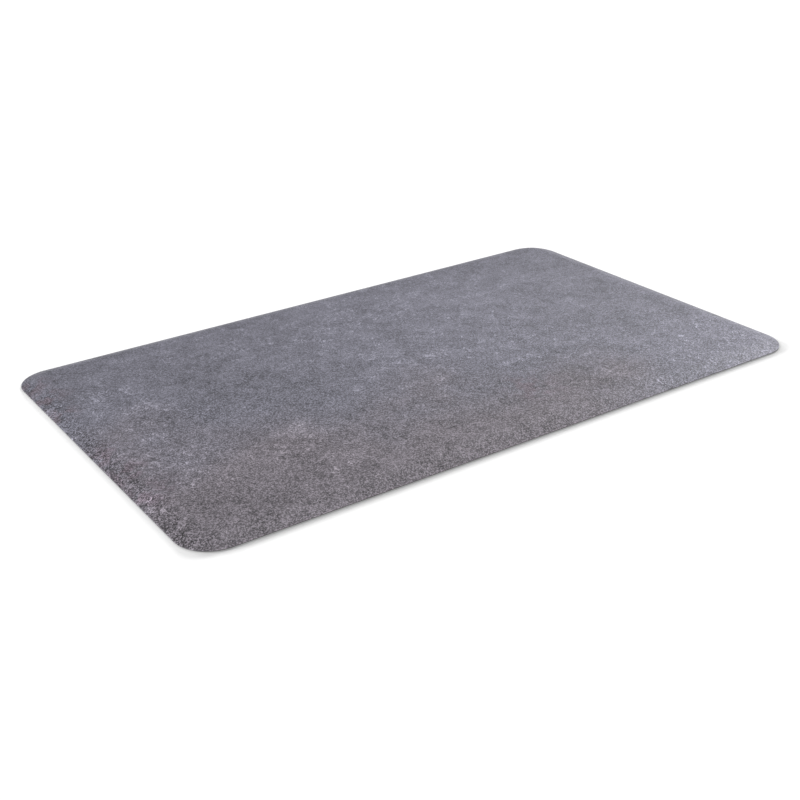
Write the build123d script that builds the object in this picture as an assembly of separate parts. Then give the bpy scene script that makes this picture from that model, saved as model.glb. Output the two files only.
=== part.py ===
from build123d import *
import math
import os

# Anti-fatigue floor mat: five plies laminated into one flat pad, with a bevelled edge all round.
# Millimetres. The origin is the centre of the underside, +X runs along the length, +Z is up.

# Outline
LENGTH = 1524.0
WIDTH = 914.4
THICKNESS = 15.9
CORNER_RADIUS = 76.2

# Edge profile: a thin upright lip, a straight slope, then a rounded crown into the flat top
LIP_HEIGHT = 1.8
BEVEL_RUN = 39.0
CROWN_RADIUS = 60.0

# Plies, from the top down; the foam core fills what is left
WEAR_THICKNESS = 0.4
PRINT_THICKNESS = 0.15
VINYL_THICKNESS = 0.55
GRIP_THICKNESS = 0.5

# Depth of each joint line below the upper surface
PRINT_DEPTH = WEAR_THICKNESS
VINYL_DEPTH = PRINT_DEPTH + PRINT_THICKNESS
FOAM_DEPTH = VINYL_DEPTH + VINYL_THICKNESS

# The surfaces that part the plies are built this much wider than the mat
TRIM_MARGIN = 5.0

PARTS_DIR = "parts"


def outline(margin=0.0):
    """Plan of the mat with its four round corners, grown by a margin."""
    return RectangleRounded(LENGTH + 2 * margin, WIDTH + 2 * margin, CORNER_RADIUS + margin)


def slab(bottom, top):
    """Flat plate with upright sides, between two heights."""
    return extrude(Plane.XY.offset(bottom) * outline(), amount=top - bottom)


def crowned_body():
    """Solid under the mat's upper surface, with its slope carried on past the lip."""
    rise = THICKNESS - LIP_HEIGHT
    slope_from_vertical = math.degrees(math.atan2(BEVEL_RUN, rise))
    base_height = LIP_HEIGHT - TRIM_MARGIN * rise / BEVEL_RUN
    base = Plane.XY.offset(base_height) * outline(TRIM_MARGIN)
    body = extrude(base, amount=THICKNESS - base_height, taper=slope_from_vertical)
    return fillet(body.edges().group_by(Axis.Z)[-1], CROWN_RADIUS)


def lowered(body, depth):
    """The same body, moved straight down, so that every ply is equally thick when measured upright."""
    return Pos(0, 0, -depth) * body


def top_ply(body, upper_depth, lower_depth):
    """One ply between two depths below the upper surface, cut off upright at the mat's edge."""
    return (slab(0, THICKNESS) & lowered(body, upper_depth)) - lowered(body, lower_depth)


def core(body):
    """Foam between the top plies and the grip skin, pressed down to a thin line at the lip."""
    return slab(GRIP_THICKNESS, THICKNESS) & lowered(body, FOAM_DEPTH)


def main():
    body = crowned_body()
    plies = {
        "wear_layer": top_ply(body, 0, PRINT_DEPTH),
        "print_film": top_ply(body, PRINT_DEPTH, VINYL_DEPTH),
        "vinyl_sheet": top_ply(body, VINYL_DEPTH, FOAM_DEPTH),
        "foam_core": core(body),
        "grip_skin": slab(0, GRIP_THICKNESS),
    }
    os.makedirs(PARTS_DIR, exist_ok=True)
    for name, ply in plies.items():
        export_step(ply, os.path.join(PARTS_DIR, name + ".step"))


main()
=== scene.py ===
import math

import bpy
import numpy as np
from mathutils import Matrix, Vector


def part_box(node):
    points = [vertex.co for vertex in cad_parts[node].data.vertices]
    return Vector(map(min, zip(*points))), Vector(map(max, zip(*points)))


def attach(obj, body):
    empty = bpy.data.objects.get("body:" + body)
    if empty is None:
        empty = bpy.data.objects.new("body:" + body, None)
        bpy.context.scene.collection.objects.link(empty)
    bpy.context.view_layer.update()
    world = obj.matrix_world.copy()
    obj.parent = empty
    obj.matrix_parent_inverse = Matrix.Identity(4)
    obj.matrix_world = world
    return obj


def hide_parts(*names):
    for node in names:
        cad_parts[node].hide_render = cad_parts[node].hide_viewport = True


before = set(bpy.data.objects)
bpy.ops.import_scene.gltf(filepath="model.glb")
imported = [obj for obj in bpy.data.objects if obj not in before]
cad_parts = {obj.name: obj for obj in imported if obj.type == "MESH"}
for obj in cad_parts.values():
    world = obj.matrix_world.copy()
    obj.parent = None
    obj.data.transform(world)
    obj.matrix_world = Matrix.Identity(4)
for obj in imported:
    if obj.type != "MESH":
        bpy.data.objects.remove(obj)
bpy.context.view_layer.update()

# Anti-fatigue mat: five plies around the CAD frame, in metres, with +X along the length and +Z up.

MM = 0.001

# ---------------------------------------------------------------------------------------------
# Sizes, most of them from the CAD frame
# ---------------------------------------------------------------------------------------------

HALF_LENGTH, HALF_WIDTH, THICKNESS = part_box("wear_layer")[1]
GRIP_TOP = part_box("grip_skin")[1].z

# How far each ply's upper surface lies below the mat's
PRINT_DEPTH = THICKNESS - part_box("print_film")[1].z
VINYL_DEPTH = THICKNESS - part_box("vinyl_sheet")[1].z
FOAM_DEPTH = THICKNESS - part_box("foam_core")[1].z

# The edge profile, as in the CAD model
LIP_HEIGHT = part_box("wear_layer")[0].z + PRINT_DEPTH
CORNER_RADIUS = 76.2 * MM
BEVEL_RUN = 39.0 * MM
CROWN_RADIUS = 60.0 * MM

# How far each inner ply's edge stands back at the lip, and the inset over which that fades out
PRINT_PULL_IN = 0.1 * MM
VINYL_PULL_IN = 0.15 * MM
FOAM_PULL_IN = 0.5 * MM
GRIP_PULL_IN = 0.2 * MM
PULL_IN_REACH = 10 * MM

# Edges of a piece that turn by more than this many degrees stay sharp
SHARP_ANGLE = 35

# Least value that a share is divided by
TINY = 1e-9

# ---------------------------------------------------------------------------------------------
# Grid of the surfaces: lines at set insets near the edge, then evenly spaced
# ---------------------------------------------------------------------------------------------

LIP_LINES = [0.0, 0.3 * MM, 0.8 * MM, 1.6 * MM, 3.0 * MM]
BEVEL_START = 5.0 * MM
BEVEL_LINES = 17
FINE_STEP = 4.4 * MM
COARSE_EVERY = 6


def grid_lines(half):
    """Line positions across the mat, and which of them the coarse surfaces use."""
    insets = LIP_LINES + list(np.linspace(BEVEL_START, CORNER_RADIUS, BEVEL_LINES))
    inner = half - CORNER_RADIUS
    steps = COARSE_EVERY * round(2 * inner / FINE_STEP / COARSE_EVERY)
    low = np.array(insets) - half
    lines = np.concatenate([low[:-1], np.linspace(-inner, inner, steps + 1), -low[-2::-1]])
    first, last = len(insets) - 1, len(insets) - 1 + steps
    coarse = [k for k in range(len(lines)) if not first < k < last or (k - first) % COARSE_EVERY == 0]
    return lines, np.array(coarse)


X_LINES, X_COARSE = grid_lines(HALF_LENGTH)
Y_LINES, Y_COARSE = grid_lines(HALF_WIDTH)
X_ALL, Y_ALL = np.arange(len(X_LINES)), np.arange(len(Y_LINES))


def place(x, y, pull_in):
    """Draws the grid's square corners in to quarter circles. Gives x, y and the inset from the edge."""
    inset = np.minimum(HALF_LENGTH - np.abs(x), HALF_WIDTH - np.abs(y))
    inset = inset + pull_in * np.clip(1 - inset / PULL_IN_REACH, 0, 1)
    centre_x, centre_y = HALF_LENGTH - CORNER_RADIUS, HALF_WIDTH - CORNER_RADIUS
    u = np.clip((np.abs(x) - centre_x) / CORNER_RADIUS, 0, 1)
    v = np.clip((np.abs(y) - centre_y) / CORNER_RADIUS, 0, 1)
    share = np.minimum(u, v) / np.maximum(np.maximum(u, v), TINY)
    turn = np.where(u >= v, share, 2 - share) * math.pi / 4
    round_x = centre_x + (CORNER_RADIUS - inset) * np.cos(turn)
    round_y = centre_y + (CORNER_RADIUS - inset) * np.sin(turn)
    px = np.where(u > 0, np.where(v > 0, round_x, HALF_LENGTH - inset), np.abs(x))
    py = np.where(v > 0, np.where(u > 0, round_y, HALF_WIDTH - inset), np.abs(y))
    return np.sign(x) * px, np.sign(y) * py, inset


def upper_height(inset):
    """Height of the mat's upper surface: lip, straight slope, rounded crown, flat top."""
    rise = THICKNESS - LIP_HEIGHT
    slope = math.atan2(rise, BEVEL_RUN)
    tangent = CROWN_RADIUS * math.tan(slope / 2)
    crown_start, crown_end = BEVEL_RUN - tangent * math.cos(slope), BEVEL_RUN + tangent
    ramp = LIP_HEIGHT + inset * rise / BEVEL_RUN
    off_top = np.clip(crown_end - inset, 0, CROWN_RADIUS)
    crown = THICKNESS - CROWN_RADIUS + np.sqrt(CROWN_RADIUS**2 - off_top**2)
    return np.where(inset < crown_start, ramp, crown)


# ---------------------------------------------------------------------------------------------
# Relief that is embossed in the wear layer, and the tread under the mat
# ---------------------------------------------------------------------------------------------

# The relief, the inset at which it starts, and the run over which it comes to its full depth
RELIEF_DEPTH = 0.22 * MM
RELIEF_START = 2 * MM
RELIEF_RUN = 6 * MM

# Sizes of the plates in the relief, of the rough spots on them, and of the bends in both
PLATE_SIZE = 74 * MM
FINE_PLATE_SIZE = 33 * MM
ROUGH_SIZE = 15 * MM
FINE_ROUGH_SIZE = 9 * MM
BEND_SIZE = 31 * MM
BEND_REACH = 9 * MM

# Direction of the plates, as the cosine and sine of their turn
PLATE_TURN = (0.83, 0.56)

# The plates lie in terraces: how many there are to a unit of noise, and how steep their sides are
TERRACES = 3.0
TERRACE_STEEPNESS = 2.5

# Shares of the terraces and the rough spots in the relief, around its middle
TERRACE_SHARE = 0.55
ROUGH_SHARE = 0.4

# The lip's upper edge is rounded over by a depth, within a run
LIP_ROUNDING = 0.25 * MM
LIP_ROUND_RUN = 1.6 * MM

# The tread has a groove on every fourth grid line
TREAD_DEPTH = 0.3 * MM
TREAD_EVERY = 4

# Side of the table of random values that the noise reads
LATTICE = 512


def smooth_noise(x, y, wavelength, seed):
    """Smooth random value from -1 to 1, with bumps about a wavelength apart."""
    lattice = np.random.default_rng(seed).uniform(-1, 1, (LATTICE, LATTICE))
    gx, gy = x / wavelength + seed, y / wavelength - seed
    ix, iy = np.floor(gx).astype(int), np.floor(gy).astype(int)
    tx, ty = gx - ix, gy - iy
    tx, ty = tx * tx * (3 - 2 * tx), ty * ty * (3 - 2 * ty)

    def corner(dx, dy):
        return lattice[(ix + dx) % LATTICE, (iy + dy) % LATTICE]

    low = corner(0, 0) * (1 - tx) + corner(1, 0) * tx
    high = corner(0, 1) * (1 - tx) + corner(1, 1) * tx
    return low * (1 - ty) + high * ty


def stone_relief(x, y):
    """How far the embossed face is pressed in, from 0 to 1: cleft plates with broken rims, and pits."""
    bend = BEND_REACH * smooth_noise(x, y, BEND_SIZE, seed=11)
    along, across = PLATE_TURN
    turned_x, turned_y = along * x - across * y + bend, across * x + along * y - bend
    plates = smooth_noise(turned_x, turned_y, PLATE_SIZE, seed=21)
    plates += 0.5 * smooth_noise(x, y, FINE_PLATE_SIZE, seed=22)
    level, within = np.divmod(TERRACES * plates, 1.0)
    terrace = (level + np.clip(TERRACE_STEEPNESS * within, 0, 1)) / (2 * TERRACES)
    rough = 0.5 * smooth_noise(turned_x, turned_y, ROUGH_SIZE, seed=23)
    rough += 0.3 * smooth_noise(x, y, FINE_ROUGH_SIZE, seed=24)
    return np.clip(0.5 + TERRACE_SHARE * terrace + ROUGH_SHARE * rough, 0, 1)


def wear_top(x, y, inset):
    """Upper face of the wear layer: the mat's surface with its relief, rounded over at the lip."""
    fade = np.clip((inset - RELIEF_START) / RELIEF_RUN, 0, 1)
    edge = np.clip(1 - inset / LIP_ROUND_RUN, 0, 1)
    rounding = LIP_ROUNDING * (1 - np.sqrt(1 - edge**2))
    return upper_height(inset) - RELIEF_DEPTH * stone_relief(x, y) * fade - rounding


def below_top(depth):
    """Height function of a joint line, a set depth under the mat's upper surface."""
    return lambda x, y, inset: upper_height(inset) - depth


def level_at(height):
    """Height function of a flat joint line."""
    return lambda x, y, inset: np.full_like(x, height)


def tread(x, y, inset):
    """Underside: square blocks parted by shallow grooves, inside a plain border."""
    columns = np.arange(x.shape[0])[:, None] % TREAD_EVERY == 0
    rows = np.arange(x.shape[1])[None, :] % TREAD_EVERY == 0
    field = inset > CORNER_RADIUS
    return np.where((columns | rows) & field, TREAD_DEPTH, 0.0)


# ---------------------------------------------------------------------------------------------
# Closed plies
# ---------------------------------------------------------------------------------------------


def surface(x_pick, y_pick, height, pull_in):
    """Vertices and insets of one surface over the picked grid lines."""
    x, y = np.meshgrid(X_LINES[x_pick], Y_LINES[y_pick], indexing="ij")
    px, py, inset = place(x, y, pull_in)
    points = np.stack([px, py, height(px, py, inset)], axis=-1)
    return points.reshape(-1, 3), inset.reshape(-1)


def grid_faces(nx, ny, offset, upward):
    """Quads of a grid of nx by ny vertices."""
    index = np.arange(nx * ny).reshape(nx, ny) + offset
    corners = [index[:-1, :-1], index[1:, :-1], index[1:, 1:], index[:-1, 1:]]
    faces = np.stack(corners, axis=-1).reshape(-1, 4)
    return (faces if upward else faces[:, ::-1]).tolist()


def rim(x_pick, y_pick, offset):
    """The surface's outer vertices, anticlockwise, each with the grid lines that it lies on."""
    nx, ny = len(x_pick), len(y_pick)
    path = [(i, 0) for i in range(nx - 1)] + [(nx - 1, j) for j in range(ny - 1)]
    path += [(i, ny - 1) for i in range(nx - 1, 0, -1)] + [(0, j) for j in range(ny - 1, 0, -1)]
    return [((x_pick[i], y_pick[j]), offset + i * ny + j) for i, j in path]


def wall(upper, lower):
    """Upright faces between two rims. One face spans several edges where the other rim is finer."""
    fine, coarse = (upper, lower) if len(upper) >= len(lower) else (lower, upper)
    where = {key: k for k, (key, _) in enumerate(fine)}
    faces = []
    for k, (key, vertex) in enumerate(coarse):
        next_key, next_vertex = coarse[(k + 1) % len(coarse)]
        count = (where[next_key] - where[key]) % len(fine)
        run = [fine[(where[key] + n) % len(fine)][1] for n in range(count + 1)]
        outline = [vertex, next_vertex, *reversed(run)]
        faces.append(outline if coarse is lower else outline[::-1])
    return faces


def ply(name, upper, lower, fine_upper=False, fine_lower=False, pull_in=0.0):
    """A closed ply between two height functions. Its inset from the edge is kept as an attribute."""
    top_pick = (X_ALL, Y_ALL) if fine_upper else (X_COARSE, Y_COARSE)
    under_pick = (X_ALL, Y_ALL) if fine_lower else (X_COARSE, Y_COARSE)
    top, top_inset = surface(*top_pick, upper, pull_in)
    under, under_inset = surface(*under_pick, lower, pull_in)
    faces = grid_faces(len(top_pick[0]), len(top_pick[1]), 0, True)
    faces += grid_faces(len(under_pick[0]), len(under_pick[1]), len(top), False)
    faces += wall(rim(*top_pick, 0), rim(*under_pick, len(top)))
    mesh = bpy.data.meshes.new(name)
    mesh.from_pydata(np.concatenate([top, under]).tolist(), [], faces)
    insets = np.concatenate([top_inset, under_inset]).astype(np.float32)
    mesh.attributes.new("inset", "FLOAT", "POINT").data.foreach_set("value", insets)
    mesh.polygons.foreach_set("use_smooth", np.ones(len(mesh.polygons), bool))
    mesh.set_sharp_from_angle(angle=math.radians(SHARP_ANGLE))
    piece = bpy.data.objects.new(name, mesh)
    bpy.context.scene.collection.objects.link(piece)
    return piece


# ---------------------------------------------------------------------------------------------
# Materials
# ---------------------------------------------------------------------------------------------


class Nodes:
    """Short calls that build one material's node tree. A value is a socket or a number."""

    def __init__(self, name):
        self.material = bpy.data.materials.new(name)
        self.material.use_nodes = True
        self.tree = self.material.node_tree
        self.shader = self.tree.nodes["Principled BSDF"]
        self.place = self.tree.nodes.new("ShaderNodeTexCoord").outputs["Object"]

    def feed(self, socket, value):
        if isinstance(value, bpy.types.NodeSocket):
            self.tree.links.new(value, socket)
        else:
            socket.default_value = value

    def node(self, kind, inputs=(), **settings):
        """A new node with its settings, and with its inputs fed by position or name."""
        made = self.tree.nodes.new(kind)
        for name, value in settings.items():
            setattr(made, name, value)
        pairs = inputs.items() if isinstance(inputs, dict) else enumerate(inputs)
        for key, value in pairs:
            self.feed(made.inputs[key], value)
        return made

    def math(self, operation, *values):
        return self.node("ShaderNodeMath", values, operation=operation).outputs[0]

    def add(self, total, value, weight=1.0):
        """total plus weight times value."""
        return self.math("MULTIPLY_ADD", value, weight, total)

    def times(self, first, second):
        return self.math("MULTIPLY", first, second)

    def ramp(self, value, low, high, to_low=0.0, to_high=1.0):
        """A smooth step from to_low to to_high while value goes from low to high."""
        given = (value, low, high, to_low, to_high)
        return self.node("ShaderNodeMapRange", given, interpolation_type="SMOOTHSTEP").outputs[0]

    def noise_node(self, size, detail, roughness, distortion, at):
        """Noise in plan, so that it runs straight down through the mat."""
        inputs = {
            "Vector": self.place if at is None else at,
            "Scale": 1 / size,
            "Detail": detail,
            "Roughness": roughness,
            "Distortion": distortion,
        }
        return self.node("ShaderNodeTexNoise", inputs, noise_dimensions="2D")

    def noise(self, size, detail=3.0, roughness=0.55, distortion=0.0, at=None):
        """Fractal noise from about 0.2 to 0.8, with its largest features about size metres apart."""
        return self.noise_node(size, detail, roughness, distortion, at).outputs[0]

    def mottle(self, size, detail=2.0, roughness=0.5, distortion=0.5, at=None):
        """Noise with firm light and dark patches, from -1 to 1."""
        return self.ramp(self.noise(size, detail, roughness, distortion, at), 0.36, 0.64, -1.0, 1.0)

    def grit(self, size, at=None):
        """Grains of one lightness each, from -0.6 to about 1. Many are a little dark, and few are light."""
        inputs = {"Vector": self.place if at is None else at, "Scale": 1 / size}
        grains = self.node("ShaderNodeTexVoronoi", inputs, voronoi_dimensions="2D").outputs["Color"]
        chance = self.node("ShaderNodeSeparateColor", (grains,)).outputs[0]
        return self.ramp(chance, 0.2, 1.1, -0.6, 1.1)

    def strokes(self, size, width, share, distortion=1.5, at=None):
        """Short wandering lines, 1 at their middle, broken up so that a share of them is left."""
        level = self.noise(size, detail=1.5, roughness=0.5, distortion=distortion, at=at)
        off = self.math("ABSOLUTE", self.math("SUBTRACT", level, 0.5))
        lines = self.ramp(off, 0.0, width, 1.0, 0.0)
        gaps = self.noise(size * 1.1, detail=2.0, roughness=0.5, at=self.shifted(at))
        kept = self.ramp(gaps, 0.6 - share / 4, 0.7 - share / 4)
        return self.times(lines, kept)

    def shifted(self, at=None):
        """The place in a turned frame a few metres away, so that a second noise has nothing in common."""
        inputs = {
            "Vector": self.place if at is None else at,
            "Location": (3.1, 1.7, 0.4),
            "Rotation": (0, 0, math.radians(37)),
        }
        return self.node("ShaderNodeMapping", inputs).outputs[0]

    def warped(self, size, reach):
        """The place, pushed about by up to half of reach."""
        push = self.noise_node(size, 2.0, 0.5, 0.0, None).outputs["Color"]
        off = self.node("ShaderNodeVectorMath", (push, (0.5, 0.5, 0.5)), operation="SUBTRACT").outputs[0]
        inputs = (off, (reach,) * 3, self.place)
        return self.node("ShaderNodeVectorMath", inputs, operation="MULTIPLY_ADD").outputs[0]

    def parts(self, vector):
        """The vector's X, Y and Z, by name."""
        return self.node("ShaderNodeSeparateXYZ", (vector,)).outputs

    def cells(self, size, feature="F1", at=None):
        """Distance within cells of about the given size in metres, from 0 to about 1."""
        inputs = {"Vector": self.place if at is None else at, "Scale": 1 / size}
        return self.node("ShaderNodeTexVoronoi", inputs, feature=feature).outputs["Distance"]

    def blot(self, at, x, y, radius):
        """1 at a place on the mat's top, fading to 0 at a radius."""
        ends = (at, (x, y, THICKNESS))
        away = self.node("ShaderNodeVectorMath", ends, operation="DISTANCE").outputs["Value"]
        return self.ramp(away, 0.0, radius, 1.0, 0.0)

    def mix(self, share, first, second):
        """The first colour, or the second where share is 1. Inputs 6 and 7 and output 2 are for colours."""
        node = self.node("ShaderNodeMix", data_type="RGBA")
        for index, value in ((0, share), (6, first), (7, second)):
            self.feed(node.inputs[index], value)
        return node.outputs[2]

    def tinted(self, colour, tone):
        """A colour scaled by a tone."""
        return self.node("ShaderNodeVectorMath", {0: colour, "Scale": tone}, operation="SCALE").outputs[0]

    def inset(self):
        """Distance from the mat's edge."""
        return self.node("ShaderNodeAttribute", attribute_name="inset").outputs["Fac"]

    def bump(self, height, distance, strength=1.0):
        inputs = {"Strength": strength, "Distance": distance, "Height": height}
        self.feed(self.shader.inputs["Normal"], self.node("ShaderNodeBump", inputs).outputs[0])

    def finish(self, colour, roughness):
        self.feed(self.shader.inputs["Base Color"], colour)
        self.feed(self.shader.inputs["Roughness"], roughness)
        return self.material


# The print's colours: most of it, its front left, and the spots in its maroon patches
COOL_STONE = (0.168, 0.166, 0.204, 1)
WARM_STONE = (0.172, 0.155, 0.178, 1)
MAROON_STONE = (0.168, 0.139, 0.168, 1)
MAROON_SPOT_SIZE = 30 * MM

# How the print is pushed about, as a size and a reach: its patches, its colours and its grains
PATCH_WARP = (50 * MM, 40 * MM)
COLOUR_WARP = (250 * MM, 500 * MM)
GRAIN_WARP = (3 * MM, 3 * MM)

# A ramp is given as its start and its end and, where they aren't 0 and 1, its values there.
# The print turns from warm to cool along Y, sooner toward the right, and also along X.
COOL_ALONG_Y = (-0.42, -0.05)
COOL_DRIFT = 0.25
COOL_ALONG_X = (0.05, 0.40)

# Patches where the print turns maroon: x, y and radius in metres
MAROON_PATCHES = [
    (-0.75, 0.37, 0.07),
    (-0.75, 0.29, 0.08),
    (-0.75, 0.20, 0.06),
    (-0.75, -0.03, 0.07),
    (-0.74, -0.12, 0.08),
    (-0.74, -0.22, 0.09),
    (0.12, -0.30, 0.10),
]

# Soft patches, mostly in the print: x, y, radius in metres, and how much lighter or darker they are
PATCHES = [
    (0.14, 0.18, 0.55, 0.12),
    # Partly print and partly a painted sheen: the front right corner is lightened where light from the
    # right falls
    (0.70, -0.42, 0.30, 0.17),
    (0.42, -0.40, 0.22, 0.05),
    (0.70, 0.35, 0.26, -0.07),
    (-0.72, 0.0, 0.32, 0.06),
    (-0.75, 0.02, 0.08, -0.22),
    (-0.75, -0.08, 0.05, -0.12),
    (-0.74, -0.27, 0.06, 0.08),
    (-0.64, 0.19, 0.12, 0.10),
    (-0.61, -0.16, 0.14, 0.13),
    (-0.36, 0.29, 0.14, 0.08),
    (-0.40, -0.19, 0.10, 0.08),
    (-0.37, -0.32, 0.09, 0.09),
    (0.10, 0.26, 0.12, 0.06),
    (0.50, -0.33, 0.18, 0.05),
    (-0.44, 0.14, 0.15, -0.09),
    (-0.71, 0.38, 0.12, -0.10),
    (-0.60, -0.37, 0.14, -0.07),
    (0.06, -0.23, 0.15, -0.07),
    (0.20, -0.34, 0.13, -0.06),
    (-0.24, -0.02, 0.16, -0.05),
]
PATCH_WEIGHT = 0.8

# Weight and size of the firm patches that make up the print, from broad to fine
PATCHWORK = [(0.05, 0.15), (0.06, 0.07), (0.06, 0.034), (0.035, 0.017)]

# Fine marks: grains and specks all over, and strokes that wander
GRAIN_SIZE = 2 * MM
GRAIN_WEIGHT = 0.8
SPECK_SIZE = 6 * MM
SPECK_WEIGHT = 0.04
SHORT_FLECKS = {"size": 11 * MM, "width": 0.07, "share": 0.5}
SHORT_FLECK_WEIGHT = 0.32
LONG_FLECKS = {"size": 24 * MM, "width": 0.042, "share": 0.9, "distortion": 2.5}
PITS = {"size": 16 * MM, "width": 0.07, "share": 0.6, "distortion": 2.0}
VEINS = {"size": 150 * MM, "width": 0.006, "share": 0.7, "distortion": 0.6}
VEIN_WEIGHT = -0.2

# Weights of the long flecks and the pits, as ramps over how light the patches are, loosened by a noise
LONG_FLECK_RAMP = (0.03, 0.145, 0.14, 2.0)
PIT_RAMP = (-0.14, 0.05, 0.42, 0.12)
GATHER_SIZE = 50 * MM
GATHER_WEIGHT = 0.09

# How far the marks stand out: less toward the back and the right, and more on the left bevel
CONTRAST_ALONG_Y = (-0.5, 0.5, 1.04, 0.58)
CONTRAST_DRIFT = 0.35
LEFT_BEVEL_CONTRAST = (-0.745, -0.720, 1.45, 1.0)

# Lightness of the print before its marks, and the least that they leave. Then a painted light at the lip: a
# ramp over the inset that lightens the lip's shaded face and the top's first 2 mm by up to half.
PRINT_TONE = 0.985
LEAST_TONE = 0.15
LIP_PAINTED_LIGHT = (0.0, 2 * MM, 1.5, 1.0)

# Worn patches on the crown: how far off the crown they reach, their size, and what they change
SCUFF_REACH = 16 * MM
SCUFF_SIZE = 18 * MM
SCUFF_TONE = 0.06
SCUFF_ROUGHNESS = -0.08

# Colours of the other plies, and of the dust under the mat. The plies' greys are partly their own colour
# and partly painted light: they are lightened so that their thin faces at the lip, which lie in shade,
# don't read dark.
BASE_VINYL = (0.36, 0.355, 0.37)
VINYL_SPECK = (0.46, 0.455, 0.47, 1)
SPONGE = (0.28, 0.276, 0.286)
GRIP_RUBBER = (0.24, 0.236, 0.244)
DUST = (0.2, 0.196, 0.19, 1)


def patch_lift(n, loose):
    """How much lighter the soft patches make each place."""
    lift = 0.0
    for x, y, radius, change in PATCHES:
        lift = n.add(lift, n.blot(loose, x, y, radius), change)
    return lift


def fine_marks(n, loose, lift):
    """Grains all over, pale flecks that gather in light patches, and pits that gather in dark ones."""
    gathered = n.add(lift, n.mottle(GATHER_SIZE, detail=3.0, roughness=0.6, at=loose), GATHER_WEIGHT)
    marks = n.times(n.grit(GRAIN_SIZE, at=n.warped(*GRAIN_WARP)), GRAIN_WEIGHT)
    marks = n.add(marks, n.mottle(SPECK_SIZE, detail=2.0, roughness=0.6), SPECK_WEIGHT)
    marks = n.add(marks, n.strokes(**SHORT_FLECKS), SHORT_FLECK_WEIGHT)
    marks = n.add(marks, n.strokes(**LONG_FLECKS), n.ramp(gathered, *LONG_FLECK_RAMP))
    pits = n.times(n.strokes(**PITS, at=n.shifted()), n.ramp(gathered, *PIT_RAMP))
    marks = n.math("SUBTRACT", marks, pits)
    spot = n.parts(n.place)
    contrast = n.ramp(n.add(spot["Y"], spot["X"], CONTRAST_DRIFT), *CONTRAST_ALONG_Y)
    return n.times(marks, n.times(contrast, n.ramp(spot["X"], *LEFT_BEVEL_CONTRAST)))


def stone_tone(n, loose):
    """The print's lightness around 1, with a painted sheen at the front right corner, and the fine part of
    it, which the bump follows.
    """
    tone = PRINT_TONE
    for weight, size in PATCHWORK:
        tone = n.add(tone, n.mottle(size, at=loose), weight)
    lift = patch_lift(n, loose)
    tone = n.add(tone, lift, PATCH_WEIGHT)
    marks = fine_marks(n, loose, lift)
    tone = n.math("ADD", tone, marks)
    tone = n.add(tone, n.strokes(**VEINS, at=n.shifted(loose)), VEIN_WEIGHT)
    return n.math("MAXIMUM", tone, LEAST_TONE), marks


def stone_colour(n, loose):
    """Cool grey, warm toward the front left, with maroon spots in a few patches."""
    spot = n.parts(n.warped(*COLOUR_WARP))
    cool_along_y = n.ramp(n.add(spot["Y"], spot["X"], COOL_DRIFT), *COOL_ALONG_Y)
    cool = n.math("MAXIMUM", cool_along_y, n.ramp(spot["X"], *COOL_ALONG_X))
    colour = n.mix(cool, WARM_STONE, COOL_STONE)
    maroon = 0.0
    for x, y, radius in MAROON_PATCHES:
        maroon = n.math("MAXIMUM", maroon, n.blot(loose, x, y, radius))
    spots = n.ramp(n.noise(MAROON_SPOT_SIZE), 0.42, 0.56)
    return n.mix(n.times(maroon, spots), colour, MAROON_STONE)


def crown_scuff(n, inset):
    """Broken patches of wear, 1 at most, along the crown of the bevel."""
    off_crown = n.math("ABSOLUTE", n.math("SUBTRACT", inset, BEVEL_RUN))
    crown = n.ramp(off_crown, 0.0, SCUFF_REACH, 1.0, 0.0)
    return n.times(crown, n.ramp(n.noise(SCUFF_SIZE, detail=4.0, roughness=0.65), 0.45, 0.7))


def stone_material(name, embossed):
    """Grey stone-look print, with painted light on the lip's shaded face. Embossed adds the wear film's
    worn crown and fine bump.
    """
    n = Nodes(name)
    loose = n.warped(*PATCH_WARP)
    tone, marks = stone_tone(n, loose)
    inset = n.inset()
    # Painted light: the shaded face of the lip and the first 2 mm of the top are lightened by up to half
    tone = n.times(tone, n.ramp(inset, *LIP_PAINTED_LIGHT))
    roughness = n.add(0.44, n.noise(20 * MM), 0.2)
    if embossed:
        scuff = crown_scuff(n, inset)
        tone = n.add(tone, scuff, SCUFF_TONE)
        roughness = n.add(roughness, scuff, SCUFF_ROUGHNESS)
        pebble = n.noise(2.2 * MM, detail=2.0, roughness=0.5)
        n.bump(n.add(marks, pebble, 0.5), distance=0.25 * MM, strength=0.5)
    return n.finish(n.tinted(stone_colour(n, loose), tone), roughness)


def vinyl_material():
    """Compact base vinyl: mid grey with paler recycled specks."""
    n = Nodes("base_vinyl")
    tone = n.add(1.0, n.mottle(30 * MM), 0.1)
    speck = n.ramp(n.cells(4 * MM), 0.12, 0.2, 1.0, 0.0)
    speck = n.times(speck, n.ramp(n.noise(10 * MM, detail=2.0), 0.52, 0.6))
    colour = n.mix(speck, n.tinted(BASE_VINYL, tone), VINYL_SPECK)
    n.bump(n.noise(1.5 * MM), distance=0.1 * MM, strength=0.6)
    return n.finish(colour, roughness=n.ramp(n.noise(10 * MM), 0.3, 0.7, 0.5, 0.65))


def foam_material():
    """Closed-cell sponge: fine round cells with lighter walls."""
    n = Nodes("sponge")
    walls = n.ramp(n.cells(1.2 * MM, at=n.warped(4 * MM, 1 * MM)), 0.15, 0.6)
    hollows = n.ramp(n.cells(3.4 * MM), 0.1, 0.5)
    tone = n.add(n.add(0.75, walls, 0.45), n.mottle(50 * MM), 0.1)
    n.bump(n.add(walls, hollows, 0.5), distance=0.3 * MM, strength=0.9)
    return n.finish(n.tinted(SPONGE, tone), roughness=n.ramp(walls, 0.0, 1.0, 0.95, 0.8))


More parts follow.
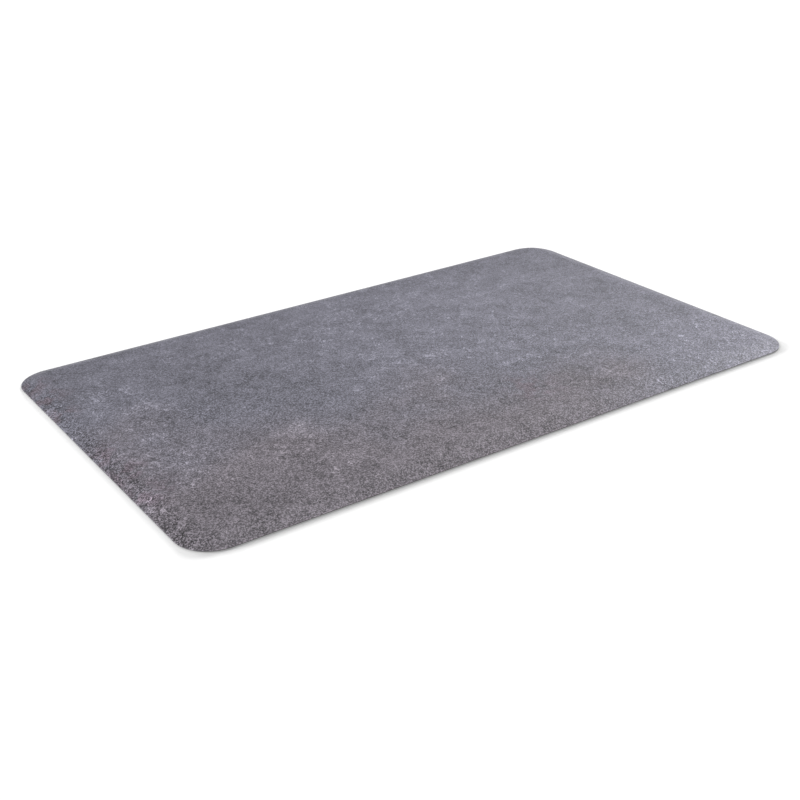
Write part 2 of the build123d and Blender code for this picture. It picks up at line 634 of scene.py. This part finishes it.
def grip_material():
    """Non-slip skin: mid grey, with a fine pebble grain and traces of dust."""
    n = Nodes("grip_rubber")
    pebble = n.cells(1.6 * MM, feature="SMOOTH_F1")
    dust = n.ramp(n.noise(90 * MM, detail=6.0, roughness=0.65, distortion=0.3), 0.5, 0.75)
    tone = n.add(1.0, n.mottle(30 * MM), 0.12)
    colour = n.mix(n.times(dust, 0.25), n.tinted(GRIP_RUBBER, tone), DUST)
    n.bump(n.add(pebble, n.noise(0.5 * MM, detail=2.0), 0.4), distance=0.25 * MM, strength=0.9)
    return n.finish(colour, roughness=n.add(0.72, dust, 0.15))


# ---------------------------------------------------------------------------------------------
# The mat
# ---------------------------------------------------------------------------------------------


def build_plies():
    """Each ply with its height functions, material and the CAD node that it stands for."""
    print_top, vinyl_top, foam_top = map(below_top, (PRINT_DEPTH, VINYL_DEPTH, FOAM_DEPTH))
    grip_top = level_at(GRIP_TOP)
    pieces = {
        "wear_layer": ply("embossed_wear_layer", wear_top, print_top, fine_upper=True),
        "print_film": ply("stone_print_film", print_top, vinyl_top, pull_in=PRINT_PULL_IN),
        "vinyl_sheet": ply("base_vinyl_sheet", vinyl_top, foam_top, pull_in=VINYL_PULL_IN),
        "foam_core": ply("sponge_core", foam_top, grip_top, pull_in=FOAM_PULL_IN),
        "grip_skin": ply("treaded_grip_skin", grip_top, tread, fine_lower=True, pull_in=GRIP_PULL_IN),
    }
    finishes = {
        "wear_layer": ("wear_vinyl", stone_material("wear_vinyl", True)),
        "print_film": ("printed_film", stone_material("printed_film", False)),
        "vinyl_sheet": ("base_vinyl", vinyl_material()),
        "foam_core": ("sponge", foam_material()),
        "grip_skin": ("grip_rubber", grip_material()),
    }
    for node, piece in pieces.items():
        slot, material = finishes[node]
        piece.data.materials.append(material)
        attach(piece, "root")
        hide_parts(node)
    return list(pieces.values())


# ---------------------------------------------------------------------------------------------
# Floor, lights and camera
# ---------------------------------------------------------------------------------------------

FLOOR_HALF = 40.0
FLOOR_COLOUR = (0.9, 0.9, 0.9, 1)
FLOOR_ROUGHNESS = 0.9
FLOOR_SPECULAR = 0.1

# The camera: angles in degrees, distances in metres, and its lens in millimetres
CAMERA_TURN = -34.08
CAMERA_RISE = 25.70
CAMERA_ROLL = -1.23
CAMERA_TARGET = Vector((-0.1277, -0.1511, 0.0))
CAMERA_DISTANCE = 2.623
CAMERA_LENS = 55.54
CAMERA_REACH = 200

# Soft boxes that light the mat only: name, place, side in metres, and power in watts
SOFTBOXES = [
    ("left_box", (-3.2, 0.3, 2.4), 2.0, 50),
    ("back_right_box", (3.0, 1.8, 2.4), 2.0, 22),
    ("right_box", (2.2, -0.4, 1.2), 1.0, 25),
    ("overhead_box", (0.6, 0.2, 3.5), 2.5, 29),
]

# Low lights that light the floor only and draw the mat's shadow. Each has a bearing clockwise from +Y
# and an elevation, both in degrees, and the irradiance that it gives the floor. All have one spread.
FLOOR_LIGHTS = [(-35, 13.2, 0.21), (-8, 14.2, 0.15), (20, 14.2, 0.15), (50, 13.0, 0.27)]
FLOOR_LIGHT_SPREAD = 5.0
FLOOR_LIGHT_DISTANCE = 4.0

# The room's light, and its brightness where the camera sees it past the floor
ROOM_LIGHT = 0.385
ROOM_SEEN = 1.1
WHITE = (1, 1, 1, 1)


def build_floor():
    mesh = bpy.data.meshes.new("studio_floor")
    signs = ((-1, -1), (1, -1), (1, 1), (-1, 1))
    corners = [(sx * FLOOR_HALF, sy * FLOOR_HALF, 0) for sx, sy in signs]
    mesh.from_pydata(corners, [], [(0, 1, 2, 3)])
    floor = bpy.data.objects.new("studio_floor", mesh)
    bpy.context.scene.collection.objects.link(floor)
    n = Nodes("studio_floor")
    n.shader.inputs["Base Color"].default_value = FLOOR_COLOUR
    n.shader.inputs["Roughness"].default_value = FLOOR_ROUGHNESS
    n.shader.inputs["Specular IOR Level"].default_value = FLOOR_SPECULAR
    mesh.materials.append(n.material)
    return floor


def light_only(light, objects):
    """The light shines on these objects and on nothing else."""
    group = bpy.data.collections.new(light.name + "_lights")
    for target in objects:
        group.objects.link(target)
    light.light_linking.receiver_collection = group


def aim(thing, target):
    thing.rotation_euler = (target - thing.location).to_track_quat("-Z", "Y").to_euler()


def add_light(name, kind, location, target, energy, **settings):
    data = bpy.data.lights.new(name, kind)
    data.energy = energy
    for key, value in settings.items():
        setattr(data, key, value)
    light = bpy.data.objects.new(name, data)
    bpy.context.scene.collection.objects.link(light)
    light.location = location
    aim(light, target)
    return light


def softbox(name, location, side, energy, plies):
    """A square light that faces the middle of the mat and shines on nothing else."""
    light = add_light(name, "AREA", Vector(location), Vector(), energy, size=side)
    light_only(light, plies)


def floor_light(name, turn, rise, irradiance, floor):
    """A far light for the floor only, which draws the mat's shadow."""
    turn, rise = math.radians(turn), math.radians(rise)
    toward = Vector((math.sin(turn) * math.cos(rise), math.cos(turn) * math.cos(rise), math.sin(rise)))
    energy = math.pi * irradiance / toward.z
    spread = math.radians(FLOOR_LIGHT_SPREAD)
    light = add_light(name, "SUN", toward * FLOOR_LIGHT_DISTANCE, Vector(), energy, angle=spread)
    light_only(light, [floor])


def build_room():
    """A pale room that lights everything evenly. The camera sees it as plain white."""
    world = bpy.data.worlds.new("studio")
    bpy.context.scene.world = world
    world.use_nodes = True
    nodes, links = world.node_tree.nodes, world.node_tree.links
    room, seen = nodes["Background"], nodes.new("ShaderNodeBackground")
    for background, strength in ((room, ROOM_LIGHT), (seen, ROOM_SEEN)):
        background.inputs["Color"].default_value = WHITE
        background.inputs["Strength"].default_value = strength
    choose = nodes.new("ShaderNodeMixShader")
    links.new(nodes.new("ShaderNodeLightPath").outputs["Is Camera Ray"], choose.inputs[0])
    links.new(room.outputs[0], choose.inputs[1])
    links.new(seen.outputs[0], choose.inputs[2])
    links.new(choose.outputs[0], nodes["World Output"].inputs["Surface"])


def build_lights(plies, floor):
    """Soft boxes round the mat, and low lights behind it that draw its shadow."""
    for name, location, side, power in SOFTBOXES:
        softbox(name, location, side, power, plies)
    for turn, rise, irradiance in FLOOR_LIGHTS:
        floor_light(f"back_light_{turn}", turn, rise, irradiance, floor)


def build_camera():
    turn, rise = math.radians(CAMERA_TURN), math.radians(CAMERA_RISE)
    away = Vector((math.sin(turn) * math.cos(rise), -math.cos(turn) * math.cos(rise), math.sin(rise)))
    data = bpy.data.cameras.new("camera")
    data.lens = CAMERA_LENS
    data.clip_end = CAMERA_REACH
    camera = bpy.data.objects.new("camera", data)
    bpy.context.scene.collection.objects.link(camera)
    facing = Matrix.Rotation(turn, 4, "Z") @ Matrix.Rotation(math.pi / 2 - rise, 4, "X")
    rolled = facing @ Matrix.Rotation(math.radians(CAMERA_ROLL), 4, "Z")
    camera.matrix_world = Matrix.Translation(CAMERA_TARGET + away * CAMERA_DISTANCE) @ rolled
    bpy.context.scene.camera = camera


bpy.context.scene.view_settings.view_transform = "Standard"
plies = build_plies()
build_lights(plies, build_floor())
build_room()
build_camera()
